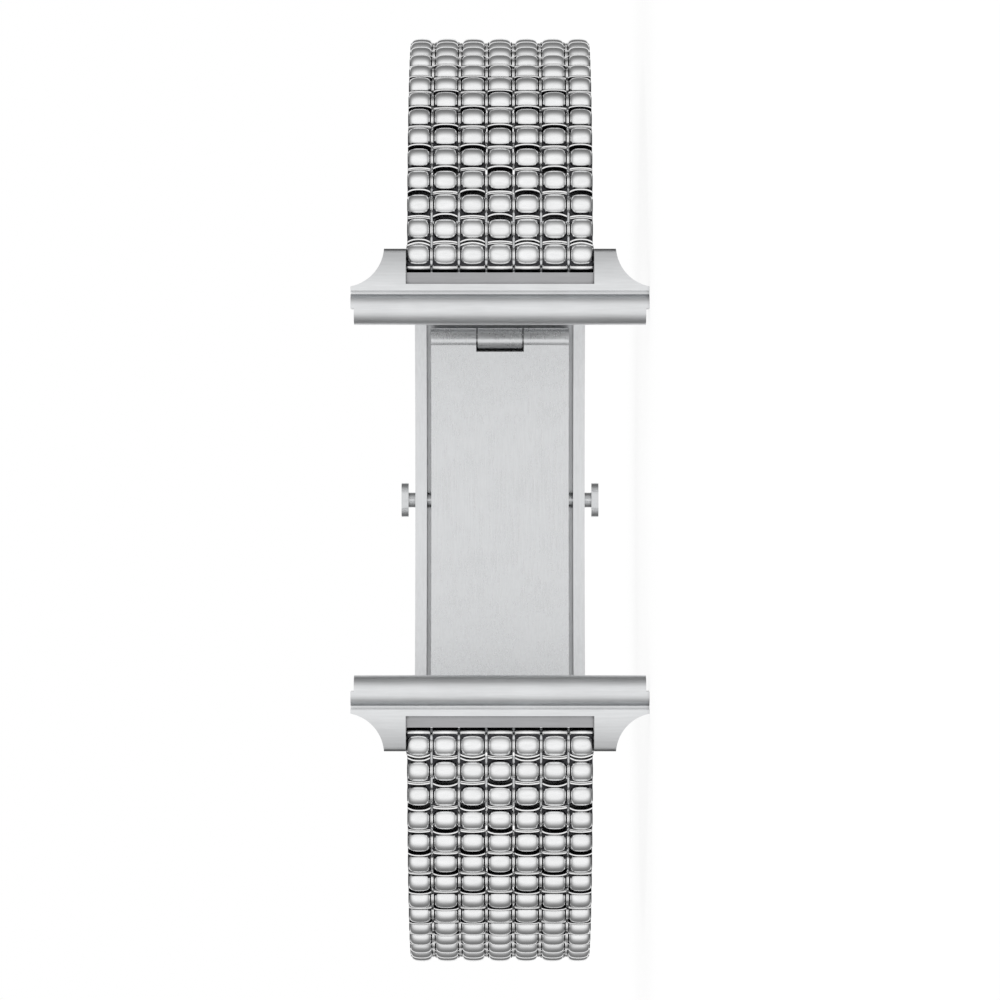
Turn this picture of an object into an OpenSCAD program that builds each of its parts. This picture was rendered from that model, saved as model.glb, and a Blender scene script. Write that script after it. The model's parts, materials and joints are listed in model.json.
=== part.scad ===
// Chain watch band: seven columns of barrel beads on cross pins, two sliding lugs, a folding clasp.
// X runs along the band at the watch, Y goes back to the clasp, Z runs along the pins.
// The origin is the middle of the place that the watch case fills.

/* [Chain] */
// Bead rows in each half of the band
rows = 24; // [23:1:25]
// Distance between neighbouring cross pins
pitch = 2.34; // [2.28:0.01:2.42]
// Largest radius of a bead round its pin
bead_r = 1.07; // [0.95:0.01:1.1]
// Gap between the last beads and the plain link behind them
bead_gap = 0.12; // [0.1:0.01:0.2]
// Width of an inner bead along its pin
bead_w = 2.34; // [2.1:0.01:2.6]
// Width of a bead in the two edge columns
edge_bead_w = 2.14; // [1.9:0.01:2.4]
// Gap between neighbouring columns
column_gap = 0.14; // [0.1:0.01:0.3]
// Rounding at both ends of a bead
bead_fillet = 0.34; // [0.2:0.01:0.36]
// Radius of the thin collar at each end of a bead
collar_r = 0.75; // [0.74:0.01:0.85]
// Width of the collar beyond the bead's rounding
collar_w = 0.08; // [0.05:0.01:0.12]
// Half the thickness of the web between the two beads of a link
web_half = 0.5; // [0.48:0.01:0.56]
// Height of the ridges across a web
ridge_h = 0.11; // [0.06:0.01:0.12]
// Gap between a link's lip and the round bead that it follows
lip_gap = 0.08; // [0.08:0.01:0.15]
// How far each side of a web lies inside the rounding of its bead
web_inset = 0.02; // [0.01:0.01:0.2]
// Radius of a cross pin
pin_r = 0.4; // [0.3:0.05:0.5]
// Running clearance round a pin
pin_clear = 0.05; // [0.02:0.01:0.08]
// How far a pin's ends lie inside the edge of the band
pin_inset = 0.3; // [0.1:0.05:0.5]

/* [Drape] */
// Distance of the first pin row from the middle of the watch
first_row_x = 22.16; // [22.1:0.01:22.3]
// Slope of the first link away from the watch
first_slope = 10; // [8:0.1:11]
// Bend from each link to the next over the front of the loop
front_bend = 5.7; // [5.5:0.1:5.9]
// Links that follow the front bend
front_links = 14; // [13:1:15]
// Slope of the last link, where the chain meets the clasp
clasp_slope = 162; // [156:1:168]

/* [Lugs] */
// Distance of the lug's pin from the middle of the watch
lug_pin_x = 21.5; // [21.3:0.01:21.6]
// Radius of the spring bar at the lug
lug_pin_r = 0.5; // [0.4:0.05:0.55]
// Radius of the rear bar of the end link, round the spring bar
rear_bar_r = 0.8; // [0.75:0.01:0.9]
// Distance of the lug's outer end from the middle of the watch
lug_end_x = 22.72; // [22.6:0.01:23.2]
// Distance of the lug's inner face from the middle of the watch
lug_face_x = 18.9; // [18.6:0.05:19.2]
// Thickness of the lug's body
lug_t = 2.7; // [2.4:0.1:3.2]
// Radius of the lug's curved front face
lug_face_r = 9; // [8.5:0.5:14]
// Bevel along the outer end of the lug
lug_bevel = 0.35; // [0.2:0.05:0.4]
// Width of the lug at the watch case
lug_w = 27; // [26:0.1:28]
// Width of the lug at its outer end
lug_end_w = 20.96; // [20.4:0.01:22]
// Radius of the hollow curve down each side of the lug
flare_r = 3.7; // [3.2:0.1:4.2]
// Depth of the step in the lug behind the first row of beads
step_depth = 0.55; // [0.3:0.05:0.6]
// Clearance of the end link in the lug's fork
fork_clear = 0.1; // [0.08:0.01:0.2]
// Distance from the middle of the watch to the axis of the sliding rail
rail_x = 17.3; // [17:0.05:17.5]
// Radius of the sliding rail
rail_r = 1.45; // [1.35:0.05:1.5]
// Length of the sliding rail
rail_l = 26.4; // [25:0.1:27]
// Thickness of the neck between rail and body
neck_t = 1.3; // [1:0.1:1.6]
// Radius of the detent plunger's nose
detent_r = 0.5; // [0.4:0.05:0.6]
// How far the detent plunger stands out of the rail
detent_out = 0.5; // [0.4:0.05:0.6]

/* [Clasp] */
// Half the distance between the two pins that hold the chain
clasp_half = 23.5; // [22.5:0.1:24.5]
// Length of the plain link between the last bead row and the clasp
clasp_link_l = 8; // [7:0.1:8.5]
// Radius of the inner face of the cover
clasp_r = 60; // [55:1:80]
// Thickness of the cover plate
cover_t = 1; // [0.8:0.1:1.2]
// Thickness of each side wall of the cover
wall_t = 1.15; // [0.9:0.05:1.3]
// Depth of the side walls below the inner face of the cover
wall_depth = 3.3; // [3:0.1:3.6]
// Thickness of a folding blade
blade_t = 1; // [0.8:0.1:1.1]
// Gap between the two folding blades
blade_gap = 0.2; // [0.15:0.05:0.3]
// Height of the space for the catch, between the cover and the middle blade
catch_space = 1.9; // [1.9:0.05:2.1]
// Gap between a blade and the side wall of the cover
blade_side_gap = 0.45; // [0.3:0.05:0.6]
// Distance from the cover hinge to the chain's pin beyond it
cover_hinge_in = 3.4; // [3.2:0.1:3.8]
// Distance from the last adjusting hole to the blade hinge
blade_hinge_in = 3.2; // [3:0.1:4]
// Rounding along both outer edges of the cover
cover_edge_r = 0.6; // [0.4:0.05:0.7]
// Radius of the cover's ears round the adjusting pin
ear_r = 1.7; // [1.65:0.05:1.75]
// Radius of the clasp's hinge knuckles
knuckle_r = 1.1; // [1:0.05:1.1]
// Radius of the clasp's hinge pins
hinge_pin_r = 0.5; // [0.4:0.05:0.55]
// Distance between the adjusting holes in the cover's walls
adjust_step = 2.2; // [2:0.1:2.3]
// Depth of the chain's pins below the inner face of the cover
chain_pin_drop = 1.25; // [1.2:0.05:1.3]
// Radius of the plain links' knuckles
end_knuckle_r = 1; // [0.9:0.05:1]

/* [Buttons] */
// Radius of a button's stem
stem_r = 0.75; // [0.6:0.05:0.75]
// Length of a button's cap along the clasp
cap_l = 3.4; // [2.8:0.1:4]
// Height of a button's cap
cap_h = 2.1; // [1.8:0.1:2.4]
// Thickness of a button's cap
cap_t = 0.7; // [0.5:0.05:0.9]
// Travel of a button
button_travel = 0.6; // [0.4:0.05:0.7]

/* [Hidden] */
$fn = 64;
columns = 7;
eps = 0.01;

// Widths across the band
band_w = 2 * edge_bead_w + (columns - 2) * bead_w + (columns - 1) * column_gap;
function column_w(i) = (i == 0 || i == columns - 1) ? edge_bead_w : bead_w;
function inner_column_z(i) = (i - (columns - 1) / 2) * (bead_w + column_gap);
edge_column_z = (band_w - edge_bead_w) / 2;
function column_z(i) = i == 0 ? -edge_column_z : i == columns - 1 ? edge_column_z : inner_column_z(i);
// A link takes every second column, and the next link takes the others
function link_columns(k) = [for (i = [k % 2 : 2 : columns - 1]) i];
bore_r = pin_r + pin_clear;
pin_l = band_w - 2 * pin_inset;

// The slope of link k. The back bend fades out over back_span links, which is solved so that
// the last plain link reaches the clasp.
front_end_slope = first_slope + front_bend * (front_links - 1);
function slope(k, span) = k <= front_links
    ? first_slope + front_bend * (k - 1)
    : front_end_slope + (clasp_slope - front_end_slope) * sin(min(90, 90 * (k - front_links) / span));
function total(v, i = 0) = i == len(v) ? 0 : v[i] + total(v, i + 1);
function reach(span) = first_row_x + pitch * total([for (k = [1 : rows - 1]) cos(slope(k, span))])
    + clasp_link_l * cos(slope(rows, span));
function solved_span(low, high, tries) = tries == 0 ? (low + high) / 2
    : reach((low + high) / 2) > clasp_half
        ? solved_span(low, (low + high) / 2, tries - 1)
        : solved_span((low + high) / 2, high, tries - 1);
back_span = solved_span(2, 30, 40);
function along(k) = [cos(slope(k, back_span)), sin(slope(k, back_span))];
// The pin of every bead row, and then the pin at the clasp
pins = [for (k = 1, at = [first_row_x, 0]; k <= rows; at = at + pitch * along(k), k = k + 1) at];
chain_end = pins[rows - 1] + clasp_link_l * along(rows);

// The clasp is curved round one centre. A level is a height over the inner face of the cover.
clasp_y = chain_end.y - sqrt(pow(clasp_r - chain_pin_drop, 2) - pow(clasp_half, 2));
function clasp_point(x, level) = [x, clasp_y + sqrt(pow(clasp_r + level, 2) - x * x)];
channel_w = band_w - 2 * wall_t;
blade_w = channel_w - 2 * blade_side_gap;
middle_top = -catch_space;
middle_low = middle_top - blade_t;
inner_top = middle_low - blade_gap;
inner_low = inner_top - blade_t;
part_gap = 0.15;
// A knuckle hangs this much below its blade
knuckle_drop = 0.05;
cover_hinge_x = clasp_half - cover_hinge_in;
blade_hinge_x = clasp_half - 2 * adjust_step - blade_hinge_in;
cover_hinge = clasp_point(-cover_hinge_x, middle_low - knuckle_drop + knuckle_r);
blade_hinge = clasp_point(blade_hinge_x, inner_low - knuckle_drop + knuckle_r);
chain_pin_a = clasp_point(clasp_half, -chain_pin_drop);
chain_pin_b = clasp_point(-clasp_half, -chain_pin_drop);
button_level = -catch_space / 2;

two_digits = function(k) k < 10 ? str("0", k) : str(k);
function link_name(side, k) = str(side, "_link_", two_digits(k));

// Chain

// A barrel bead round the pin, w wide, with rounded ends and a thin collar beyond each
module bead(w) {
    barrel_w = w - 2 * (bead_fillet + collar_w);
    rotate_extrude() {
        translate([0, -barrel_w / 2])
            square([bead_r, barrel_w]);
        translate([0, -w / 2])
            square([collar_r, w]);
        for (s = [-1, 1])
            translate([bead_r - bead_fillet, s * barrel_w / 2])
                circle(r = bead_fillet);
    }
}

// The straight stretch of a bead, which the webs and rear pads share
function straight_w(i) = column_w(i) - 2 * (bead_fillet + collar_w + web_inset);

// The faces of a web, as points of distance along the link and height over its middle.
// Before the first bead a lip follows the round bead of the link before. Between the two
// beads lie a thin ridge, a broad ridge and a crease.
face_x = sqrt(bead_r * bead_r - web_half * web_half);
ridge_side = 0.03;
thin_ridge = 0.05;
broad_ridge = 0.1;
ridge_gap = 0.02;
crease = 0.1;
// The inner lip is shorter, because the chain bends further inward
inner_lip_room = 0.12;
thin_x = face_x + ridge_gap;
broad_x = thin_x + 2 * ridge_side + thin_ridge + ridge_gap;
crease_x = broad_x + 2 * ridge_side + broad_ridge + ridge_gap;
function ridge(x, w, h) = [
    [x, web_half],
    [x + ridge_side, web_half + h],
    [x + ridge_side + w, web_half + h],
    [x + 2 * ridge_side + w, web_half]
];
function lip_face(reach) = [
    [-reach, web_half - ridge_h],
    [-reach + 2 * ridge_side, web_half + ridge_h],
    [-reach + 2 * ridge_side + broad_ridge, web_half + ridge_h],
    [-reach + 4 * ridge_side + broad_ridge, web_half - crease],
    [0, web_half - crease],
    [0, web_half]
];
function ridge_face(l) = concat(
    ridge(thin_x, thin_ridge, ridge_h - ridge_side),
    ridge(broad_x, broad_ridge, ridge_h),
    [[crease_x, web_half - crease], [l, web_half - crease]]
);
lip_reach = pitch - bead_r - lip_gap;
function backwards(points) = [for (n = [len(points) - 1 : -1 : 0]) points[n]];
function outward(points) = [for (p = points) [p.x, -p.y]];

// The web of a link in column i, between its outer and its inner face
module web(i, outer, inner) {
    translate([0, 0, -straight_w(i) / 2])
        linear_extrude(height = straight_w(i))
            polygon(concat(outward(outer), backwards(inner)));
}

module pin_bore(r = bore_r) {
    translate([0, 0, -band_w])
        cylinder(r = r, h = 2 * band_w);
}

module bar(r, l) {
    translate([0, 0, -l / 2])
        cylinder(r = r, h = l);
}

// A spring bar: a thick middle between two walls, and a thinner tip in each wall
tip_step = 0.1;
end_play = 0.1;
module spring_bar(r, middle_l, whole_l) {
    bar(r, middle_l - end_play);
    bar(r - tip_step, whole_l);
}

// Two beads in one column, bored for their pins
module bead_pair(i) {
    difference() {
        translate([0, 0, column_z(i)]) {
            bead(column_w(i));
            translate([pitch, 0, 0])
                bead(column_w(i));
            web(
                i,
                concat(lip_face(lip_reach), ridge_face(pitch)),
                concat(lip_face(lip_reach - inner_lip_room), ridge_face(pitch))
            );
        }
        pin_bore();
        translate([pitch, 0, 0])
            pin_bore();
    }
}

// The links of row k side by side, with the cross pin at their far end
module chain_links(k) {
    color("silver")
        for (i = link_columns(k))
            bead_pair(i);
    far_pin();
}

module far_pin() {
    color("gray")
        translate([pitch, 0, 0])
            bar(pin_r, pin_l);
}

// The link next to the watch: a whole row of beads on one bar, a rear pad behind each bead
// round the spring bar, and every second bead of the next row
module end_link() {
    rear = lug_pin_x - first_row_x;
    foot = [[0, web_half]];
    joined_face = concat(foot, ridge_face(pitch));
    stub_ridge = ridge(thin_x, thin_ridge, ridge_h - ridge_side);
    stub_face = concat(foot, [stub_ridge[0], stub_ridge[1], stub_ridge[2]]);
    color("silver")
        difference() {
            union() {
                bar(collar_r - web_inset, band_w - edge_bead_w);
                for (i = [0 : columns - 1])
                    translate([0, 0, column_z(i)]) {
                        face = i % 2 == 1 ? joined_face : stub_face;
                        bead(column_w(i));
                        web(i, face, face);
                        rotate(-slope(1, back_span))
                            translate([rear, 0, 0]) {
                                bar(rear_bar_r, straight_w(i));
                                translate([0, -rear_bar_r, -straight_w(i) / 2])
                                    cube([-rear, 2 * rear_bar_r, straight_w(i)]);
                            }
                    }
                for (i = link_columns(1))
                    translate([pitch, 0, column_z(i)])
                        bead(column_w(i));
            }
            rotate(-slope(1, back_span))
                translate([rear, 0, 0])
                    pin_bore(lug_pin_r + pin_clear);
            translate([pitch, 0, 0])
                pin_bore();
        }
    far_pin();
}

// The plain link between the chain and the clasp. forked leaves room for the blade's tongue.
module clasp_link(forked) {
    narrow_l = ear_r + ear_room;
    plate_x = bead_r + bead_gap;
    tab_w = channel_w - 2 * part_gap;
    plate_half = end_knuckle_r - plate_step;
    plate_end = [[plate_x + eps, web_half]];
    color("silver")
        difference() {
            union() {
                for (i = link_columns(rows))
                    translate([0, 0, column_z(i)]) {
                        bead(column_w(i));
                        web(
                            i,
                            concat(lip_face(lip_reach), plate_end),
                            concat(lip_face(lip_reach - inner_lip_room), plate_end)
                        );
                    }
                translate([plate_x, -plate_half, -band_w / 2])
                    cube([clasp_link_l - narrow_l - plate_x, 2 * plate_half, band_w]);
                translate([plate_x, -plate_half, -tab_w / 2])
                    cube([clasp_link_l - plate_x, 2 * plate_half, tab_w]);
                translate([clasp_link_l, 0, 0])
                    bar(end_knuckle_r, tab_w);
            }
            pin_bore();
            translate([clasp_link_l, 0, 0])
                pin_bore(hinge_pin_r + pin_clear);
            if (forked)
                translate([clasp_link_l - narrow_l, -band_w / 2, -tongue_w / 2 - part_gap])
                    cube([2 * narrow_l, band_w, tongue_w + 2 * part_gap]);
        }
}
tongue_w = 6;
// Room between a plain link's shoulders and the cover's ears
ear_room = 0.5;
plate_step = 0.08;

// Lugs

fork_w = band_w + 2 * fork_clear;
bridge_x = lug_pin_x - rear_bar_r - part_gap;
flare_z = lug_end_w / 2 + flare_r;
bar_socket = 1.1;
collar_step = 0.25;
pocket_r = detent_r + collar_step;
pocket_floor = -0.9;
pocket_lip = 0.45;
pocket_top = rail_r - pocket_lip;

// The outline of the lug's body seen from the side: a front face that curves back to the
// outer end, and bevels at both corners there
face_flat = 0.7;
face_start = lug_face_x + face_flat;
face_centre_y = lug_face_r - lug_t / 2;
function face_y(x) = face_centre_y - sqrt(pow(lug_face_r, 2) - pow(x - face_start, 2));
module lug_body_side() {
    bevel_x = lug_end_x - lug_bevel;
    bevel_start = [bevel_x, face_y(bevel_x)];
    bevel_end = [lug_end_x, face_y(lug_end_x) + lug_bevel];
    intersection() {
        polygon([
            [lug_face_x, -lug_t],
            [2 * bevel_start.x - bevel_end.x, -lug_t],
            2 * bevel_start - bevel_end,
            bevel_end,
            [lug_end_x, lug_t / 2 - lug_bevel],
            [bevel_x, lug_t / 2],
            [lug_face_x, lug_t / 2]
        ]);
        translate([face_start, face_centre_y])
            circle(r = lug_face_r);
    }
}

module lug_side() {
    neck_overlap = 0.5;
    translate([rail_x, 0])
        circle(r = rail_r);
    translate([rail_x, -neck_t / 2])
        square([lug_face_x - rail_x + neck_overlap, neck_t]);
    lug_body_side();
}

// The fork that takes the end link, with a step in front of the bridge behind it
module fork_side() {
    ledge = 0.6;
    step_x = lug_face_x + ledge;
    polygon([
        [step_x, -lug_w],
        [step_x, step_depth - lug_t / 2],
        [bridge_x, step_depth - lug_t / 2],
        [bridge_x, lug_w],
        [2 * lug_w, lug_w],
        [2 * lug_w, -lug_w]
    ]);
}

module lug_adapter() {
    flare_out = 0.2;
    flare_x = lug_end_x + flare_out;
    color("gainsboro")
        difference() {
            union() {
                intersection() {
                    translate([0, 0, -lug_w / 2])
                        linear_extrude(height = lug_w)
                            lug_side();
                    translate([rail_x, -lug_w, -lug_w / 2])
                        cube([lug_w, 2 * lug_w, lug_w]);
                }
                translate([rail_x, 0, 0])
                    bar(rail_r, rail_l);
            }
            // the hollow curve down each side
            for (s = [-1, 1])
                translate([flare_x, lug_w / 2, s * flare_z])
                    rotate([90, 0, 0])
                        cylinder(r = flare_r, h = lug_w);
            translate([0, 0, -fork_w / 2])
                linear_extrude(height = fork_w)
                    fork_side();
            translate([lug_pin_x, 0, 0])
                bar(lug_pin_r + pin_clear, fork_w + 2 * bar_socket);
            // the stepped pocket of the detent plunger
            translate([rail_x, pocket_floor, 0])
                rotate([-90, 0, 0])
                    cylinder(r = pocket_r, h = pocket_top - pocket_floor);
            translate([rail_x, pocket_floor, 0])
                rotate([-90, 0, 0])
                    cylinder(r = detent_r + pin_clear, h = 2 * rail_r);
        }
}

// The spring bar across the lug's fork, with a thinner tip at each end
module lug_bar() {
    color("gray")
        translate([lug_pin_x, 0, 0])
            spring_bar(lug_pin_r, fork_w, fork_w + 2 * bar_socket - end_play);
}

// The plunger under the rail: a domed nose and a collar that the step of the pocket holds back
module lug_detent() {
    collar_t = 0.4;
    collar_r = pocket_r - pin_clear;
    nose_y = rail_r + detent_out;
    color("gray")
        translate([rail_x, 0, 0])
            rotate([-90, 0, 0])
                rotate_extrude() {
                    translate([0, pocket_top - part_gap - collar_t])
                        square([collar_r, collar_t]);
                    translate([0, pocket_top - part_gap - collar_t])
                        square([detent_r, nose_y - detent_r - pocket_top + part_gap + collar_t]);
                    intersection() {
                        translate([0, nose_y - detent_r])
                            circle(r = detent_r);
                        translate([0, nose_y - detent_r - eps])
                            square([detent_r, detent_r + eps]);
                    }
                }
}

// Clasp

// Bends a section, drawn over the radius, along the clasp's curve from x1 to x2 at one level
module bent(x1, x2, level) {
    a1 = asin(x1 / (clasp_r + level));
    a2 = asin(x2 / (clasp_r + level));
    translate([0, clasp_y, 0])
        rotate(90 - a2)
            rotate_extrude(angle = a2 - a1)
                children();
}

// A strip of the clasp's curve from x1 to x2, between two levels, w wide
module strip(x1, x2, low, high, w) {
    bent(x1, x2, (low + high) / 2)
        translate([clasp_r + low, -w / 2])
            square([high - low, w]);
}

module at_point(p) {
    translate([p.x, p.y, 0])
        children();
}

cover_tail = 2;
cover_end_b = -cover_hinge_x - cover_tail;
cover_end_in = 0.4;
cover_end_a = clasp_half - cover_end_in;
// The ears are flush with the walls' outer faces and a little thinner
ear_step = 0.1;
ear_t = wall_t - ear_step;

// The cover's section: a plate with two side walls and rounded outer edges
module cover_section() {
    edge_z = band_w / 2 - cover_edge_r;
    edge_x = clasp_r + cover_t - cover_edge_r;
    difference() {
        union() {
            translate([clasp_r - wall_depth, -band_w / 2])
                square([edge_x - clasp_r + wall_depth, band_w]);
            translate([edge_x - eps, -edge_z])
                square([cover_edge_r + eps, 2 * edge_z]);
            for (s = [-1, 1])
                translate([edge_x, s * edge_z])
                    circle(r = cover_edge_r);
        }
        translate([clasp_r - 2 * wall_depth, -channel_w / 2])
            square([2 * wall_depth, channel_w]);
    }
}

module clasp_cover() {
    color("silver")
        difference() {
            union() {
                bent(cover_end_b, cover_end_a, 0)
                    cover_section();
                for (s = [-1, 1])
                    translate([chain_pin_a.x, chain_pin_a.y, s * (band_w - ear_t) / 2])
                        bar(ear_r, ear_t);
            }
            for (n = [0 : 2])
                at_point(clasp_point(clasp_half - n * adjust_step, -chain_pin_drop))
                    pin_bore(hinge_pin_r - tip_step + pin_clear);
            at_point(cover_hinge)
                pin_bore(hinge_pin_r + pin_clear);
            translate([0, clasp_point(0, button_level).y, 0])
                pin_bore(stem_r + pin_clear);
        }
    color("gray")
        at_point(cover_hinge)
            bar(hinge_pin_r, band_w - 2 * pin_inset);
}

// The spring bar that holds the chain in one of the adjusting holes
module clasp_bar() {
    color("gray")
        at_point(chain_pin_a)
            spring_bar(hinge_pin_r, channel_w, band_w - 2 * end_play);
}

post_l = 2.6;
post_w = 3;
post_neck_w = 2.2;
window_room = 0.75;
window_l = post_l + 2 * window_room;
window_w = post_w + 2 * window_room;
middle_tongue_w = 4.4;

// Where the two blades give way to each other's knuckles, from z1 to z2
module notch(z1, z2) {
    translate([blade_hinge_x - knuckle_r - part_gap, 0, z1])
        cube([clasp_r, clasp_r, z2 - z1]);
}

module middle_blade() {
    color("lightgray")
        difference() {
            union() {
                difference() {
                    strip(-cover_hinge_x, blade_hinge_x, middle_low, middle_top, blade_w);
                    notch(middle_tongue_w / 2, band_w);
                    notch(-band_w, -middle_tongue_w / 2);
                }
                at_point(cover_hinge)
                    bar(knuckle_r, channel_w - 2 * part_gap);
                at_point(blade_hinge)
                    bar(knuckle_r, middle_tongue_w);
            }
            at_point(cover_hinge)
                pin_bore(hinge_pin_r + pin_clear);
            at_point(blade_hinge)
                pin_bore(hinge_pin_r + pin_clear);
            translate([-window_l / 2, clasp_y, -window_w / 2])
                cube([window_l, 2 * clasp_r, window_w]);
        }
    color("gray")
        at_point(blade_hinge)
            bar(hinge_pin_r, blade_w - pin_inset);
}

// The catch post of the inner blade: a neck with a wider head, which the two pawls hold
module catch_post() {
    sink = 0.2;
    head_gap = 0.35;
    foot = clasp_point(0, inner_top).y - sink;
    neck_top = clasp_point(0, button_level).y;
    head_top = clasp_point(0, -head_gap).y;
    translate([-post_l / 2, foot, -post_neck_w / 2])
        cube([post_l, neck_top - foot + eps, post_neck_w]);
    translate([-post_l / 2, neck_top, -post_w / 2])
        cube([post_l, head_top - neck_top, post_w]);
}

// The tongue's outline, from its foot at the end of the inner blade up to the chain's pin
inner_tail = 1.6;
inner_end_x = -cover_hinge_x - inner_tail;
module tongue_side() {
    foot = clasp_point(inner_end_x, inner_low);
    root = [0.9, 0.1];
    heel = [-0.5, 0];
    rise = 0.1;
    inner_shoulder = [0.5, 0.2];
    outer_shoulder = [-0.95, -0.3];
    polygon([
        foot + root,
        foot + [root.x, blade_t],
        foot + [0, blade_t + rise],
        chain_pin_b + inner_shoulder,
        chain_pin_b + outer_shoulder,
        foot + heel
    ]);
}

module inner_blade() {
    slot_z = middle_tongue_w / 2 + part_gap;
    side_w = blade_w / 2 - slot_z;
    color("lightgray")
        difference() {
            union() {
                difference() {
                    strip(inner_end_x, blade_hinge_x, inner_low, inner_top, blade_w);
                    notch(-slot_z, slot_z);
                }
                for (s = [-1, 1])
                    translate([blade_hinge.x, blade_hinge.y, s * (blade_w - side_w) / 2])
                        bar(knuckle_r, side_w);
                linear_extrude(height = tongue_w, center = true)
                    tongue_side();
                at_point(chain_pin_b)
                    bar(end_knuckle_r, tongue_w);
                catch_post();
            }
            at_point(blade_hinge)
                pin_bore(hinge_pin_r + pin_clear);
            at_point(chain_pin_b)
                pin_bore(hinge_pin_r + pin_clear);
        }
    color("gray")
        at_point(chain_pin_b)
            bar(hinge_pin_r, channel_w - 2 * part_gap - pin_inset);
}

// A button with its stem through the wall, and a pawl that reaches past the post to its far side
module push_button() {
    y = clasp_point(0, button_level).y;
    pawl_h = 1.2;
    pawl_w = 1.2;
    pawl_gap = 0.3;
    pawl_x = post_l / 2 + pawl_gap;
    nose_gap = 0.1;
    nose_z = post_w / 2 + nose_gap;
    nose_l = 1.2;
    arm_t = 1;
    stem_z = channel_w / 2 - button_travel - part_gap;
    cap_gap = 0.1;
    cap_z = band_w / 2 + button_travel + cap_gap;
    color("gray")
        translate([0, y, 0]) {
            translate([0, 0, stem_z])
                cylinder(r = stem_r, h = cap_z + eps - stem_z);
            translate([-stem_r, -pawl_h / 2, stem_z - arm_t])
                cube([pawl_x + pawl_w + stem_r, pawl_h, arm_t + eps]);
            translate([pawl_x, -pawl_h / 2, -nose_z - nose_l])
                cube([pawl_w, pawl_h, stem_z + nose_z + nose_l]);
            translate([-post_l / 2, -pawl_h / 2, -nose_z - nose_l])
                cube([pawl_x + pawl_w + post_l / 2, pawl_h, nose_l]);
            translate([0, 0, cap_z])
                button_cap();
        }
}

module button_cap() {
    reach = (cap_l - cap_h) / 2;
    for (s = [-1, 1])
        translate([s * reach, 0, 0])
            cylinder(d = cap_h, h = cap_t);
    translate([-reach, -cap_h / 2, 0])
        cube([2 * reach, cap_h, cap_t]);
}

// Places

module on_top(k) {
    translate([pins[k - 1].x, pins[k - 1].y, 0])
        rotate(slope(k, back_span))
            children();
}

module on_bottom(k) {
    mirror([1, 0, 0])
        on_top(k)
            children();
}

lug_adapter();  // lug_adapter_top
lug_bar();  // lug_bar_top
lug_detent();  // lug_detent_top
on_top(1) end_link();  // end_link_top
for (k = [2 : rows - 1])
    on_top(k) chain_links(k);
on_top(rows) clasp_link(false);  // clasp_link_top
clasp_bar();
clasp_cover();
push_button();  // push_button_left
rotate([0, 180, 0]) push_button();  // push_button_right
middle_blade();
inner_blade();
on_bottom(rows) clasp_link(true);  // clasp_link_bottom
for (k = [2 : rows - 1])
    on_bottom(k) chain_links(k);
on_bottom(1) end_link();  // end_link_bottom
mirror([1, 0, 0]) lug_adapter();  // lug_adapter_bottom
mirror([1, 0, 0]) lug_bar();  // lug_bar_bottom
mirror([1, 0, 0]) lug_detent();  // lug_detent_bottom
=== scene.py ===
import json
import math
import re

import bpy
from mathutils import Matrix, Vector


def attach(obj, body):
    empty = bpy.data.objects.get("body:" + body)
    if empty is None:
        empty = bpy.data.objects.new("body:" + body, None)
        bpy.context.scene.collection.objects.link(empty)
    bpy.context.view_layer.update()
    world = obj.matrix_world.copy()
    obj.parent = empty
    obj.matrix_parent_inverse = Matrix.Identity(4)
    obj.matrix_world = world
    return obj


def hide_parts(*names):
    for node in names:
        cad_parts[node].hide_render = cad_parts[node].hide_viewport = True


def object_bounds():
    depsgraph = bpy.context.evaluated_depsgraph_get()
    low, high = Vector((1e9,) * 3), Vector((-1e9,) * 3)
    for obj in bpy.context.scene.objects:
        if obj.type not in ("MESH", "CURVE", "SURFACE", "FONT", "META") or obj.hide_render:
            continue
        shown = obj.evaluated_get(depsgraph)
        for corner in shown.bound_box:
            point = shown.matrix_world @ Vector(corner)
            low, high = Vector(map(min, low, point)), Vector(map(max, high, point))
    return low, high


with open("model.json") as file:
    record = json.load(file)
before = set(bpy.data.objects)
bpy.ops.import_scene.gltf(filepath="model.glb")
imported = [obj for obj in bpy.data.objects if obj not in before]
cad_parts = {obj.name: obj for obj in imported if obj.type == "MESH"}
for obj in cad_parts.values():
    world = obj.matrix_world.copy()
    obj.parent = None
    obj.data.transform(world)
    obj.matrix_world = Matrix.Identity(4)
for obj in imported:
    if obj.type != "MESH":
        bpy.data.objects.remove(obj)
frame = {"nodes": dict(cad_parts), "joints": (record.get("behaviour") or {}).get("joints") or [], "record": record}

CAD_BOX = [list(v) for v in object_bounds()]

# Lengths are in millimetres, as in the part's source, unless a comment says metres.
MM = 0.001

# The chain, as in the part's source
ROWS = 24
COLUMNS = 7
PITCH = 2.34
FIRST_ROW = 22.16
BEAD_W = 2.34
EDGE_BEAD_W = 2.14
COLUMN_GAP = 0.14
BAND_W = 2 * EDGE_BEAD_W + (COLUMNS - 2) * BEAD_W + (COLUMNS - 1) * COLUMN_GAP
PIN_R = 0.4
PIN_INSET = 0.3
HALVES = {"top": 1, "bottom": -1}

# The round part of a bead: its radius at the middle and at its ends, and the power of its outline
BEAD_R = 1.07
DOME_END_R = 0.56
DOME_POWER = 2.6
DOME_STEPS = 12

# Material numbers of the chain's pieces, in the order of CHAIN_MATERIALS. The rim steel is a
# lighter copy of the bead steel, a painted highlight, and the crevice steel is near-black, painted
# shade.
DOME, PIN, RIM_HIGHLIGHT, CREVICE_SHADE = range(4)
CHAIN_MATERIALS = ("bead_steel", "pin_steel", "rim_highlight_steel", "crevice_shade_steel")

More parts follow.
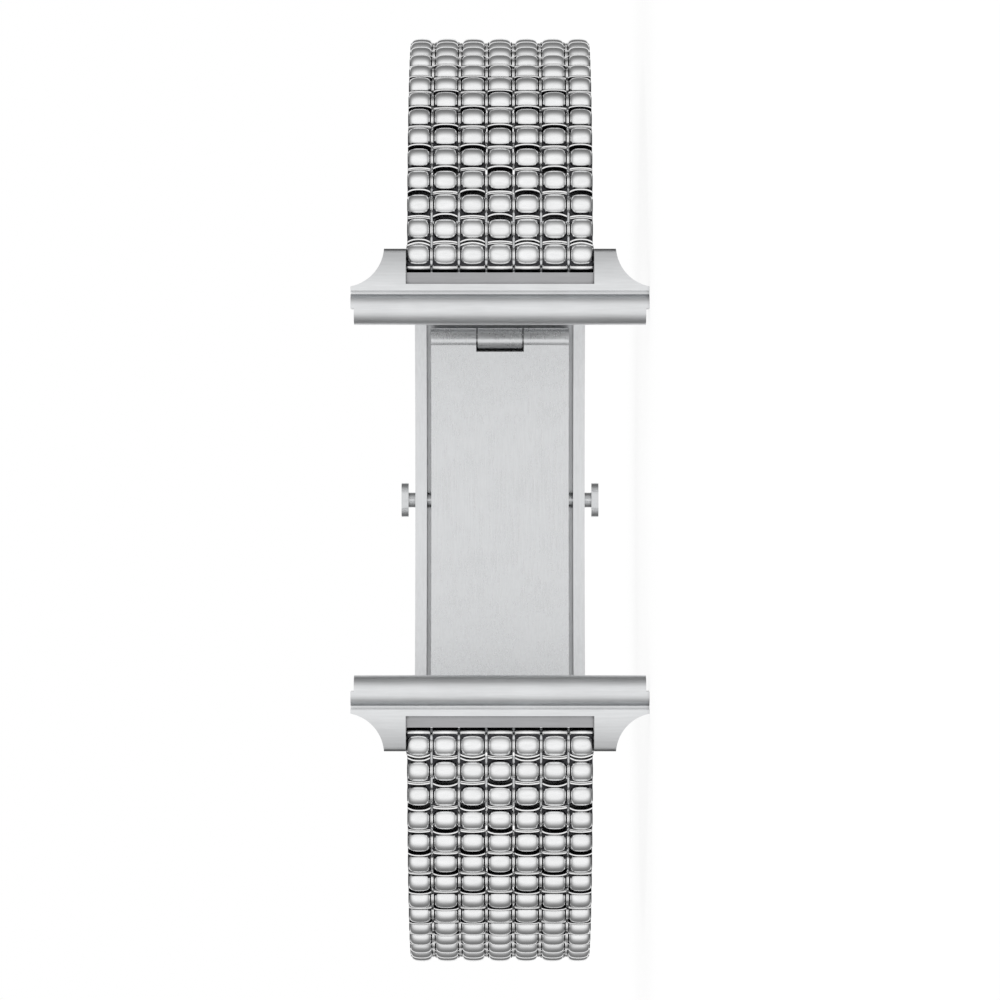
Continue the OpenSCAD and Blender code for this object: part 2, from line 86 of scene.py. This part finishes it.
# The ends of a bead as (z, radius, material of the band that ends there): the groove from the end
# of the round part, the collar from where it ends just outside its column, and at the edge of the
# band a bevel and the recess that shows the end of the pin, from the band's edge
GROOVE_W = 0.12
COLLAR_R = 0.70
COLLAR_OUT = 0.06
BEVEL_W = 0.06
# The groove and the recess at the band's edge are near-black, painted shade; the collar is in the lighter rim
# steel, a painted highlight.
GROOVE = [(0.02, 0.46, CREVICE_SHADE), (0.05, 0.62, CREVICE_SHADE), (0.07, COLLAR_R - 0.02, CREVICE_SHADE),
          (0.09, COLLAR_R, RIM_HIGHLIGHT)]
COLLAR = [(-0.03, COLLAR_R, RIM_HIGHLIGHT), (0, COLLAR_R - 0.03, RIM_HIGHLIGHT), (0, 0, RIM_HIGHLIGHT)]
OPEN_END = [(-0.05, 0.60, CREVICE_SHADE), (-0.02, 0.66, PIN), (0, 0.64, PIN), (0, 0.58, PIN),
            (0, 0.5, PIN), (-0.04, 0.45, CREVICE_SHADE), (-0.5, 0.45, CREVICE_SHADE), (-0.5, 0, PIN)]
# How far the edge beads and slabs of the first row reach beyond the band's edge
FIRST_BEAD_EXTRA = 0.07
FIRST_SLAB_EXTRA = 0.08

# The spring bar in the first row, and the ends of a cross pin as (distance from its end, radius)
BAR_R = 0.6
BAR_INSET = 1.0
PIN_END = [(0, 0), (0, 0.3), (0.05, 0.37), (0.12, PIN_R)]

# The slabs between beads, whose edges across a column bow by these at their ends
LIP_BOW = 0.28
RIDGE_BOW = 0.13
STUB_BOW = 0.28
LEDGE_BOW = 0.05
# The reach of a lip at its middle, and its least gap to the bead of the link before
LIP_REACH = 1.16
LIP_GAP = 0.11
# The slabs' height over the pins, and their sections as (u, v) or (u, outer v, inner v)
WEB_V = 0.42
LIP = [(0, 0.30), (0, 0.42), (0.025, 0.49), (0.055, 0.54), (0.09, 0.56), (0.14, 0.56),
       (0.165, 0.51), (0.18, 0.36)]
LIP_FOOT = [(-0.84, 0.34)]
RIDGES = [(0.88, 0.42), (0.94, 0.45), (0.96, 0.55), (1.03, 0.56), (1.05, 0.43), (1.07, 0.43),
          (1.09, 0.51), (1.115, 0.56), (1.15, 0.585), (1.22, 0.585), (1.245, 0.55), (1.265, 0.40)]
RIDGES_FOOT = [(1.42, 0.34), (1.46, 0.34)]
STUB_FOOT = (0.90, 0.44)
STUB = [(0.95, 0.46, -0.46), (0.97, 0.55, -0.5), (1.045, 0.56, -0.5), (1.06, 0.56, 0.28),
        (1.10, 0.55, 0.32), (1.125, 0.50, 0.36)]
LEDGE_REAR = [(-1.57, -0.10, -0.13), (-1.556, 0.04, -0.27), (-1.515, 0.20, -0.43)]
LEDGE_CURVE = [(-1.50, 0.34, -0.50), (-1.45, 0.49, -0.57), (-1.38, 0.59, -0.67)]
LEDGE_FRONT = [(-1.27, 0.64, -0.76), (-1.18, 0.62, -0.80), (-1.12, 0.52, -0.80),
               (-1.06, 0.46, -0.80), (-0.9, 0.45, -0.80), (-0.4, 0.45, -0.70)]
# Faces of a slab above this height are rims in the lighter rim steel, a painted highlight, and
# the others crevices in the near-black crevice steel, painted shade.
RIM_V = 0.49
# The rounding of a slab's long edges as (distance from its side, share of the height there), its
# gap to the side of its column, and the places between as shares
SLAB_EDGE = [(0, 0.78), (0.02, 0.90), (0.07, 0.965), (0.16, 1.0)]
SLAB_INSET = 0.02
SLAB_PLACES = (0.8, 0.55, 0.3, 0, -0.3, -0.55, -0.8)

# Steps round a bead and a pin, and the angle in degrees from which an edge shades as sharp
BEAD_SEGMENTS = 32
PIN_SEGMENTS = 24
SHARP_ANGLE = 38


# Mesh building

class Shell:
    """Collects closed shells of one piece in the link's own frame, each with a material number."""

    def __init__(self):
        self.verts, self.faces, self.mats = [], [], []

    def add(self, verts, faces, mats, shift=(0, 0, 0)):
        """mats is one material number for all faces, or a list with one for each."""
        base = len(self.verts)
        self.verts += [tuple(a + b for a, b in zip(v, shift)) for v in verts]
        self.faces += [tuple(i + base for i in f) for f in faces]
        self.mats += [mats] * len(faces) if isinstance(mats, int) else mats

    def mesh(self, name, materials):
        me = bpy.data.meshes.new(name)
        me.from_pydata([tuple(c * MM for c in v) for v in self.verts], [], self.faces)
        for m in materials:
            me.materials.append(m)
        me.polygons.foreach_set("material_index", self.mats)
        me.polygons.foreach_set("use_smooth", [True] * len(self.faces))
        me.set_sharp_from_angle(angle=math.radians(SHARP_ANGLE))
        me.update()
        return me


def revolved(profile, segments):
    """A closed solid of revolution round Z from (z, r) points that start and end on the axis, and
    the band of the profile that each face belongs to."""
    verts, faces, bands, rings = [], [], [], []
    for z, r in profile:
        if r < 1e-6:
            rings.append([len(verts)] * segments)
            verts.append((0, 0, z))
            continue
        rings.append([len(verts) + i for i in range(segments)])
        for i in range(segments):
            a = 2 * math.pi * i / segments
            verts.append((r * math.cos(a), r * math.sin(a), z))
    for band, (low, high) in enumerate(zip(rings, rings[1:])):
        for i in range(segments):
            j = (i + 1) % segments
            face = [low[i], low[j], high[j], high[i]]
            face = [v for n, v in enumerate(face) if v not in face[:n]]
            if len(face) > 2:
                faces.append(tuple(face))
                bands.append(band)
    return verts, faces, bands


def dome_half(width):
    """Half the width of the round part of a bead, between the grooves at its ends."""
    return width / 2 - GROOVE_W


def dome_r(z, width):
    """The radius of a bead at z from its middle."""
    t = min(abs(z) / dome_half(width), 1)
    return DOME_END_R + (BEAD_R - DOME_END_R) * (1 - t ** DOME_POWER) ** (1 / DOME_POWER)


def moved(points, shift):
    """The points of a section, moved along their first coordinate."""
    return [(p[0] + shift, *p[1:]) for p in points]


def half_bead(width, is_open, extra):
    """The profile of half a bead from its middle, as (z, radius, material of the band that ends
    there). At the edge of the band, the round part is drawn out to the bevel."""
    dome = dome_half(width)
    side = [dome * math.sin(math.pi / 2 * i / DOME_STEPS) for i in range(DOME_STEPS + 1)]
    if is_open:
        edge = width / 2 + extra
        side_end, end = edge - BEVEL_W, moved(OPEN_END, edge)
    else:
        side_end, end = dome, moved(GROOVE, dome) + moved(COLLAR, width / 2 + COLLAR_OUT)
    return [(z * side_end / dome, dome_r(z, width), DOME) for z in side] + end


def bead_profile(width, low_open, high_open, extra):
    """The section of a bead, a pillow-like barrel with its two ends, and the material of each
    band."""
    low, high = half_bead(width, low_open, extra)[:0:-1], half_bead(width, high_open, extra)
    points = [(-z, r) for z, r, mat in low] + [(z, r) for z, r, mat in high]
    return points, [mat for z, r, mat in low] + [mat for z, r, mat in high[1:]]


def column_z(i):
    if i in (0, COLUMNS - 1):
        return (BAND_W - EDGE_BEAD_W) / 2 * (-1 if i == 0 else 1)
    return (i - (COLUMNS - 1) / 2) * (BEAD_W + COLUMN_GAP)


def column_w(i):
    return EDGE_BEAD_W if i in (0, COLUMNS - 1) else BEAD_W


def slab(rows_of, width, caps, widen):
    """A closed slab across one column. rows_of(z, width) gives its (u, outer v, inner v) points at
    z, always as many, and the long edges at both sides are rounded. caps gives the materials of its
    low and high ends, and widen moves them outward."""
    half = width / 2 - SLAB_INSET
    stations = [(-half + at, share) for at, share in SLAB_EDGE]
    inner = [stations[-1][0] * t for t in SLAB_PLACES]
    stations += [(z, 1.0) for z in inner] + [(-z, share) for z, share in stations[::-1]]
    stations = [(z * (1 + widen[z > 0] / half), share) for z, share in stations]
    verts, faces, mats = [], [], []
    heights = [outer for u, outer, inner_v in rows_of(0, width)]
    n = len(heights)
    # Faces above the rim height take the lighter rim steel, a painted highlight, and the rest the near-black
    # crevice steel, painted shade.
    covers = [CREVICE_SHADE if low + high < 2 * RIM_V else RIM_HIGHLIGHT for low, high in zip(heights, heights[1:])]
    for z, share in stations:
        points = rows_of(z, width)
        verts += [(u, outer * share, z) for u, outer, inner_v in points]
        verts += [(u, inner_v * share, z) for u, outer, inner_v in points]
    for s in range(len(stations) - 1):
        a, b = 2 * n * s, 2 * n * (s + 1)
        for i in range(n - 1):
            faces.append((a + i, b + i, b + i + 1, a + i + 1))
            faces.append((a + n + i, a + n + i + 1, b + n + i + 1, b + n + i))
            mats += [covers[i]] * 2
        # The walls at both ends of the section are near-black, painted shade.
        faces.append((a, a + n, b + n, b))
        faces.append((a + n - 1, b + n - 1, b + 2 * n - 1, a + 2 * n - 1))
        mats += [CREVICE_SHADE] * 2
    last = 2 * n * (len(stations) - 1)
    for i in range(n - 1):
        faces.append((i, i + 1, n + i + 1, n + i))
        faces.append((last + i, last + n + i, last + n + i + 1, last + i + 1))
        mats += caps
    return verts, faces, mats


def bow(z, width, rise):
    """How far an edge across a column bows at z, from 0 at its middle to rise at its ends."""
    return rise * (2 * z / width) ** 2


def both_sides(points):
    return [(u, v, -v) for u, v in points]


def lip_points(z, width):
    """The near side of a link, which arches away from the round bead of the link before: a ridge
    with a crease between it and this link's own bead."""
    reach = min(LIP_REACH + bow(z, width, LIP_BOW), PITCH - dome_r(z, width) - LIP_GAP)
    return moved(LIP, -reach) + LIP_FOOT


def web_points(z, width):
    """The slab between the two domes of a link: a thin ridge, a broad one, and a crease before the
    second dome."""
    ridges = moved(RIDGES, -bow(z, width, RIDGE_BOW))
    return [(0, WEB_V)] + ridges + RIDGES_FOOT + [(PITCH, WEB_V)]


def ledge_points(z, width):
    """The pad behind each bead of the first row, round the spring bar: its rear is an arc round the
    bar, and its front ends in a rim with a crease before the bead."""
    return LEDGE_REAR + moved(LEDGE_CURVE, bow(z, width, LEDGE_BOW)) + LEDGE_FRONT


def pair_points(z, width):
    """The slab of a two-bead link."""
    return both_sides(lip_points(z, width) + web_points(z, width))


def end_points(z, width):
    """The slab of a two-bead column in the end link."""
    return ledge_points(z, width) + both_sides(web_points(z, width))


def stub_points(z, width):
    """The slab of a bead in the first row whose column is joined by the next link."""
    sag = -bow(z, width, STUB_BOW)
    foot = both_sides([(0, WEB_V)] + moved([STUB_FOOT], sag))
    return ledge_points(z, width) + foot + moved(STUB, sag)


def add_bead(shell, i, u, extra=0):
    profile, mats = bead_profile(column_w(i), i == 0, i == COLUMNS - 1, extra)
    verts, faces, bands = revolved(profile, BEAD_SEGMENTS)
    shell.add(verts, faces, [mats[b] for b in bands], (u, 0, column_z(i)))


def add_slab(shell, i, rows_of, extra=0):
    at_edge = [i == 0, i == COLUMNS - 1]
    # Caps inside the band are near-black, painted shade; caps at its edge are in the pin steel.
    caps = [PIN if is_open else CREVICE_SHADE for is_open in at_edge]
    widen = [extra * is_open for is_open in at_edge]
    verts, faces, mats = slab(rows_of, column_w(i), caps, widen)
    shell.add(verts, faces, mats, (0, 0, column_z(i)))


def add_pin(shell, u):
    half = BAND_W / 2 - PIN_INSET
    profile = [(-half + at, r) for at, r in PIN_END]
    profile += [(-z, r) for z, r in profile[::-1]]
    verts, faces, bands = revolved(profile, PIN_SEGMENTS)
    shell.add(verts, faces, PIN, (u, 0, 0))


def chain_shell(parity):
    """The two-bead links of an even or odd row side by side, with the cross pin at their far
    end."""
    shell = Shell()
    for i in range(parity, COLUMNS, 2):
        add_bead(shell, i, 0)
        add_bead(shell, i, PITCH)
        add_slab(shell, i, pair_points)
    add_pin(shell, PITCH)
    return shell


def end_shell():
    """The link next to the watch: a whole row of beads, every second bead of the next row, and a
    ledge behind each bead."""
    shell = Shell()
    for i in range(COLUMNS):
        add_bead(shell, i, 0, FIRST_BEAD_EXTRA)
        if i % 2:
            add_bead(shell, i, PITCH)
        add_slab(shell, i, end_points if i % 2 else stub_points, FIRST_SLAB_EXTRA)
    half = BAND_W / 2 - BAR_INSET
    bar = [(-half, 0), (-half, BAR_R), (half, BAR_R), (half, 0)]
    verts, faces, bands = revolved(bar, PIN_SEGMENTS)
    # The spring bar is all near-black, painted shade.
    shell.add(verts, faces, CREVICE_SHADE)
    add_pin(shell, PITCH)
    return shell


# Places

def pin_places(side):
    """The pins of one half in the row frame's x and y, in metres, numbered from the watch."""
    places = {1: Vector((HALVES[side] * FIRST_ROW * MM, 0))}
    for joint in frame["joints"]:
        found = re.fullmatch(r"pin_(\d\d)_" + side, joint["name"])
        if found:
            places[int(found.group(1))] = Vector(joint["pos_m"][:2])
        if joint["name"] == "clasp_link_%s_hinge" % side:
            places[ROWS + 1] = Vector(joint["pos_m"][:2])
    return places


def link_matrix(places, k, side):
    """The place of link k: its first pin, its own u axis along it, v outward, and z across."""
    at, to = places[k], places[k + 1]
    u = Vector((to.x - at.x, to.y - at.y, 0)).normalized()
    v = Vector((u.y, -u.x, 0)) * HALVES[side]
    w = u.cross(v)
    m = Matrix((u, v, w)).transposed().to_4x4()
    m.translation = (at.x, at.y, 0)
    return m


def link_body(side, k):
    return "end_link_" + side if k == 1 else "%s_link_%02d" % (side, k)


def add_chain(materials):
    """One piece of beads for each link of both halves, in place of the plain solids."""
    end_mesh = end_shell().mesh("end_beads", materials)
    row_meshes = [chain_shell(parity).mesh("beads_%d" % parity, materials) for parity in (0, 1)]
    for side in HALVES:
        places = pin_places(side)
        for k in range(1, ROWS):
            body = link_body(side, k)
            me = (end_mesh if k == 1 else row_meshes[k % 2]).copy()
            me.transform(link_matrix(places, k, side))
            piece = bpy.data.objects.new("beads_" + body, me)
            bpy.context.scene.collection.objects.link(piece)
            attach(piece, body)
            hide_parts(body)


# Materials

# How the grain is drawn out: small along the axis that it follows
PLAIN_GRAIN = (1, 1, 1)
ROUND_GRAIN = (1, 1, 0.25)
PIN_GRAIN = (1, 1, 0.2)
ACROSS_GRAIN = (1, 1, 0.06)
ALONG_GRAIN = (0.05, 1, 1)
# The noise: its scales in steps per metre, its detail, and the shares of fine lines and soft clouds
CLOUD_SCALE = 260.0
POLISH_SCALE = 3000.0
PIN_SCALE = 4000.0
BRUSH_SCALE = 5200.0
CLOUD_DETAIL = 4.0
LINE_DETAIL = 5.0
NOISE_ROUGHNESS = 0.6
CLOUD_SHARE = 0.4
LINE_SHARE = 0.6
# The darkest tone of a steel beside its tint, and where the two stand on the noise
DARK_TONE = 0.90
TONE_ENDS = (0.36, 0.6)
# In metres: how far other surfaces shade a crevice, and the depth of the grain
SHADE_DISTANCE = 0.0004
GRAIN_DEPTH = 0.00002
SHADE_SAMPLES = 6


def math_node(nodes, links, operation, a, b):
    n = nodes.new("ShaderNodeMath")
    n.operation = operation
    for socket, value in zip(n.inputs, (a, b)):
        if hasattr(value, "links"):
            links.new(value, socket)
        else:
            socket.default_value = value
    return n.outputs[0]


def noise(nodes, links, stretch, scale, detail):
    """Object-space noise, drawn out along an axis where stretch is small there."""
    coord = nodes.new("ShaderNodeTexCoord")
    mapping = nodes.new("ShaderNodeMapping")
    mapping.inputs["Scale"].default_value = stretch
    links.new(coord.outputs["Object"], mapping.inputs["Vector"])
    n = nodes.new("ShaderNodeTexNoise")
    n.inputs["Scale"].default_value = scale
    n.inputs["Detail"].default_value = detail
    n.inputs["Roughness"].default_value = NOISE_ROUGHNESS
    links.new(mapping.outputs["Vector"], n.inputs["Vector"])
    return n.outputs["Fac"]


def ramp(nodes, links, fac, stops):
    """A colour ramp over grey or coloured stops of (place, colour)."""
    n = nodes.new("ShaderNodeValToRGB")
    while len(n.color_ramp.elements) < len(stops):
        n.color_ramp.elements.new(0.5)
    for e, (at, colour) in zip(n.color_ramp.elements, stops):
        e.position = at
        e.color = (*(colour if isinstance(colour, tuple) else (colour,) * 3), 1)
    links.new(fac, n.inputs["Fac"])
    return n.outputs["Color"]


def map_range(nodes, links, value, source=(0, 1), target=(0, 1)):
    n = nodes.new("ShaderNodeMapRange")
    n.inputs["From Min"].default_value, n.inputs["From Max"].default_value = source
    n.inputs["To Min"].default_value, n.inputs["To Max"].default_value = target
    links.new(value, n.inputs["Value"])
    return n.outputs["Result"]


def multiplied(nodes, links, a, b):
    mix = nodes.new("ShaderNodeMix")
    mix.data_type = "RGBA"
    mix.blend_type = "MULTIPLY"
    mix.inputs["Factor"].default_value = 1.0
    links.new(a, mix.inputs["A"])
    links.new(b, mix.inputs["B"])
    return mix.outputs["Result"]


def shaded_along_x(nodes, links, tone, shade_along_x):
    """tone with painted shade: darkened by the (distance along X in metres, brightness) stops given."""
    split = nodes.new("ShaderNodeSeparateXYZ")
    coord = nodes.new("ShaderNodeTexCoord")
    links.new(coord.outputs["Object"], split.inputs["Vector"])
    far = math_node(nodes, links, "ABSOLUTE", split.outputs["X"], 0.0)
    low, high = shade_along_x[0][0], shade_along_x[-1][0]
    place = map_range(nodes, links, far, source=(low, high))
    stops = [((x - low) / (high - low), brightness) for x, brightness in shade_along_x]
    return multiplied(nodes, links, tone, ramp(nodes, links, place, stops))


def shaded(nodes, links, tone, shade):
    """tone, darkened in crevices by the (openness, brightness) stops of shade."""
    ao = nodes.new("ShaderNodeAmbientOcclusion")
    ao.samples = SHADE_SAMPLES
    ao.inputs["Distance"].default_value = SHADE_DISTANCE
    links.new(tone, ao.inputs["Color"])
    return multiplied(nodes, links, tone, ramp(nodes, links, ao.outputs["AO"], shade))


def steel(name, tint, rough, stretch, scale, grain, shade=None, shade_along_x=None, metallic=1.0):
    """Steel with fine grain drawn out along one axis and uneven gloss. tint is its colour, rough
    its least and greatest roughness, and grain the strength of the grain's bump. The optional
    stops paint shade into its colour: in crevices, and along X."""
    m = bpy.data.materials.new(name)
    m.use_nodes = True
    nodes, links = m.node_tree.nodes, m.node_tree.links
    shader = nodes["Principled BSDF"]
    shader.inputs["Metallic"].default_value = metallic
    clouds = noise(nodes, links, PLAIN_GRAIN, CLOUD_SCALE, CLOUD_DETAIL)
    lines = noise(nodes, links, stretch, scale, LINE_DETAIL)
    both = math_node(nodes, links, "ADD",
                     math_node(nodes, links, "MULTIPLY", lines, LINE_SHARE),
                     math_node(nodes, links, "MULTIPLY", clouds, CLOUD_SHARE))
    tones = (tuple(c * DARK_TONE for c in tint), tint)
    tone = ramp(nodes, links, both, list(zip(TONE_ENDS, tones)))
    if shade_along_x:
        tone = shaded_along_x(nodes, links, tone, shade_along_x)
    if shade:
        tone = shaded(nodes, links, tone, shade)
    links.new(tone, shader.inputs["Base Color"])
    links.new(map_range(nodes, links, both, target=rough), shader.inputs["Roughness"])
    bump = nodes.new("ShaderNodeBump")
    bump.inputs["Strength"].default_value = grain
    bump.inputs["Distance"].default_value = GRAIN_DEPTH
    links.new(lines, bump.inputs["Height"])
    links.new(bump.outputs["Normal"], shader.inputs["Normal"])
    return m


def make_materials():
    """The steels by name. Those named in the record's material slots come with others for the
    parts of a bead and the faces of a lug: lighter and darker steels that paint highlight and
    shade."""
    return {
        "bead_steel": steel(
            "polished_steel", (0.92, 0.925, 0.93), (0.10, 0.20), ROUND_GRAIN, POLISH_SCALE, 0.2,
            shade=[(0.36, 0.03), (0.52, 0.36), (0.68, 0.85), (0.85, 1.0)]),
        # A lighter copy of the bead steel with less shade, on rims and collars: painted highlight.
        "rim_highlight_steel": steel(
            "painted_highlight_rims", (0.98, 0.98, 0.98), (0.12, 0.22), ROUND_GRAIN, POLISH_SCALE, 0.2,
            shade=[(0.12, 0.1), (0.38, 1.0)]),
        # Near-black steel on grooves, creases, hidden walls and the spring bar: painted shade.
        "crevice_shade_steel": steel(
            "painted_crevice_shade", (0.05, 0.05, 0.055), (0.35, 0.50), ROUND_GRAIN, POLISH_SCALE, 0.3),
        # The lug darkens towards the outer end of its ears: painted shade, as well as the shade in crevices.
        "lug_steel": steel(
            "satin_steel", (0.80, 0.81, 0.82), (0.30, 0.42), ACROSS_GRAIN, BRUSH_SCALE, 0.30,
            shade=[(0.15, 0.6), (0.8, 1.0)], shade_along_x=[(0.0194, 1.0), (0.0224, 0.68)]),
        # The bevels at the ears' outer end darken outward to a dark line at the outermost edge: painted shade.
        "edge_shade_steel": steel(
            "lug_edge_shade_steel", (0.72, 0.73, 0.74), (0.45, 0.60), ACROSS_GRAIN, BRUSH_SCALE, 0.30,
            shade_along_x=[(0.02235, 0.8), (0.02249, 0.72), (0.02256, 0.2), (0.0227, 0.2)], metallic=0.4),
        # A darker steel on the step behind the first row: painted shade in the recess.
        "recess_shade_steel": steel(
            "recess_shade_steel", (0.42, 0.42, 0.43), (0.30, 0.42), ACROSS_GRAIN, BRUSH_SCALE, 0.30,
            shade=[(0.25, 0.25), (0.75, 1.0)]),
        # A darker steel on the walls of the fork beside the band: painted shade.
        "wall_shade_steel": steel(
            "fork_wall_shade_steel", (0.34, 0.34, 0.35), (0.35, 0.50), ACROSS_GRAIN, BRUSH_SCALE, 0.30),
        "clasp_steel": steel(
            "brushed_steel", (0.76, 0.77, 0.78), (0.22, 0.40), ALONG_GRAIN, BRUSH_SCALE, 0.45,
            shade=[(0.15, 0.5), (0.8, 1.0)]),
        "blade_steel": steel(
            "blade_steel", (0.72, 0.73, 0.74), (0.20, 0.36), ALONG_GRAIN, BRUSH_SCALE, 0.40,
            shade=[(0.15, 0.5), (0.8, 1.0)]),
        "pin_steel": steel(
            "pin_steel", (0.68, 0.69, 0.70), (0.14, 0.28), PIN_GRAIN, PIN_SCALE, 0.20,
            shade=[(0.15, 0.4), (0.8, 1.0)]),
    }


# The faces of a lug that differ from the rest of it, by painted shade
LUG_MATERIALS = ["recess_shade_steel", "edge_shade_steel", "wall_shade_steel"]
# The step behind the first row, by its place along the band, its height and its half width
STEP_X = (19.45, 20.6)
STEP_Y = (0.75, 0.85)
STEP_HALF_W = 8.52
# The bevels at the outer end, by their place and their slope
BEVEL_X = 22.3
BEVEL_SLOPE = (0.2, 0.98)
# The walls of the fork, by their half width and direction
FORK_HALF_W = 8.6
FLAT_SLOPE = 0.9


def lug_face_shade(face):
    """The material of a face of a lug: the step behind the first row and the walls of the fork in
    darker steels, painted shade, the bevels at the outer end with a painted dark line, or the rest."""
    x, y, z = (abs(c) / MM for c in face.center)
    if STEP_X[0] < x < STEP_X[1] and STEP_Y[0] < y < STEP_Y[1] and z < STEP_HALF_W:
        return "recess_shade_steel"
    if x > BEVEL_X and BEVEL_SLOPE[0] < abs(face.normal.x) < BEVEL_SLOPE[1]:
        return "edge_shade_steel"
    if abs(face.normal.z) > FLAT_SLOPE and z < FORK_HALF_W:
        return "wall_shade_steel"
    return "lug_steel"


def dress_nodes(materials):
    """Each CAD node that stays gets the material of its slot. The plain links are brushed like the
    cover, and the lugs differ by face, with painted shade on the step, the fork walls and the bevels."""
    slots = {s["node"]: s["material_slot"] for s in frame["record"]["subparts"]}
    for name, node in frame["nodes"].items():
        key = "clasp_steel" if name.startswith("clasp_link") else slots[name]
        if not node.material_slots:
            node.data.materials.append(materials[key])
        for s in node.material_slots:
            s.material = materials[key]
        if name.startswith("lug_adapter"):
            first = len(node.data.materials)
            for key in LUG_MATERIALS:
                node.data.materials.append(materials[key])
            for face in node.data.polygons:
                face_shade = lug_face_shade(face)
                if face_shade in LUG_MATERIALS:
                    face.material_index = first + LUG_MATERIALS.index(face_shade)


# Studio

# Brightness of the world to the metal, from behind the band (0) to in front of it (1)
STUDIO_LIGHT = [(0.0, 1.0), (0.11, 0.95), (0.16, 0.40), (0.21, 0.17), (0.50, 0.25), (0.60, 0.34),
                (0.70, 0.48), (0.79, 0.68), (0.88, 0.90), (0.95, 1.0)]
# The floor: half its side in metres, its grey, and its glow to the camera with the glow's share
FLOOR_HALF = 3.0
FLOOR_GREY = 0.92
FLOOR_GLOW = 1.03
GLOW_SHARE = 0.8
# The camera's distance from the watch, and what the photo shows from its middle to its edge
CAMERA_DISTANCE = 450.0
HALF_VIEW = 45.25
SENSOR_W = 36.0


def add_world():
    """White to the camera. To the metal it is white in front and behind, and grey round the
    sides."""
    world = bpy.data.worlds.new("studio")
    bpy.context.scene.world = world
    world.use_nodes = True
    nodes, links = world.node_tree.nodes, world.node_tree.links
    nodes.clear()
    coord = nodes.new("ShaderNodeTexCoord")
    split = nodes.new("ShaderNodeSeparateXYZ")
    links.new(coord.outputs["Generated"], split.inputs["Vector"])
    place = math_node(nodes, links, "MULTIPLY_ADD", split.outputs["Y"], -0.5)
    place.node.inputs[2].default_value = 0.5
    front = ramp(nodes, links, place, STUDIO_LIGHT)
    path = nodes.new("ShaderNodeLightPath")
    plain = nodes.new("ShaderNodeBackground")
    plain.inputs["Color"].default_value = (1, 1, 1, 1)
    shaped = nodes.new("ShaderNodeBackground")
    links.new(front, shaped.inputs["Color"])
    mix = nodes.new("ShaderNodeMixShader")
    links.new(path.outputs["Is Glossy Ray"], mix.inputs["Fac"])
    links.new(plain.outputs[0], mix.inputs[1])
    links.new(shaped.outputs[0], mix.inputs[2])
    out = nodes.new("ShaderNodeOutputWorld")
    links.new(mix.outputs[0], out.inputs["Surface"])


def add_floor():
    """A pale floor under the band's edge, which shows white to the camera and keeps some shadow.
    The metal doesn't reflect it."""
    low, s = CAD_BOX[0][2], FLOOR_HALF
    me = bpy.data.meshes.new("floor")
    me.from_pydata([(-s, -s, low), (s, -s, low), (s, s, low), (-s, s, low)], [], [(0, 1, 2, 3)])
    floor = bpy.data.objects.new("floor", me)
    bpy.context.scene.collection.objects.link(floor)
    m = bpy.data.materials.new("floor_paper")
    m.use_nodes = True
    nodes, links = m.node_tree.nodes, m.node_tree.links
    nodes.clear()
    diffuse = nodes.new("ShaderNodeBsdfDiffuse")
    diffuse.inputs["Color"].default_value = (FLOOR_GREY, FLOOR_GREY, FLOOR_GREY, 1)
    glow = nodes.new("ShaderNodeEmission")
    glow.inputs["Color"].default_value = (1, 1, 1, 1)
    glow.inputs["Strength"].default_value = FLOOR_GLOW
    path = nodes.new("ShaderNodeLightPath")
    share = math_node(nodes, links, "MULTIPLY", path.outputs["Is Camera Ray"], GLOW_SHARE)
    mix = nodes.new("ShaderNodeMixShader")
    links.new(share, mix.inputs["Fac"])
    links.new(diffuse.outputs[0], mix.inputs[1])
    links.new(glow.outputs[0], mix.inputs[2])
    clear = nodes.new("ShaderNodeBsdfTransparent")
    unseen = nodes.new("ShaderNodeMixShader")
    links.new(path.outputs["Is Glossy Ray"], unseen.inputs["Fac"])
    links.new(mix.outputs[0], unseen.inputs[1])
    links.new(clear.outputs[0], unseen.inputs[2])
    out = nodes.new("ShaderNodeOutputMaterial")
    links.new(unseen.outputs[0], out.inputs["Surface"])
    me.materials.append(m)


def add_camera():
    """In front of the watch, looking along +Y with +X up."""
    data = bpy.data.cameras.new("camera")
    data.sensor_width = SENSOR_W
    data.lens = SENSOR_W / 2 * CAMERA_DISTANCE / HALF_VIEW
    data.clip_start, data.clip_end = 0.01, 20.0
    camera = bpy.data.objects.new("camera", data)
    bpy.context.scene.collection.objects.link(camera)
    camera.matrix_world = Matrix(((0, 1, 0, 0), (0, 0, -1, -CAMERA_DISTANCE * MM),
                                  (-1, 0, 0, 0), (0, 0, 0, 1)))
    bpy.context.scene.camera = camera


materials = make_materials()
dress_nodes(materials)
add_chain([materials[name] for name in CHAIN_MATERIALS])
add_world()
add_floor()
add_camera()
bpy.context.scene.view_settings.view_transform = "Standard"
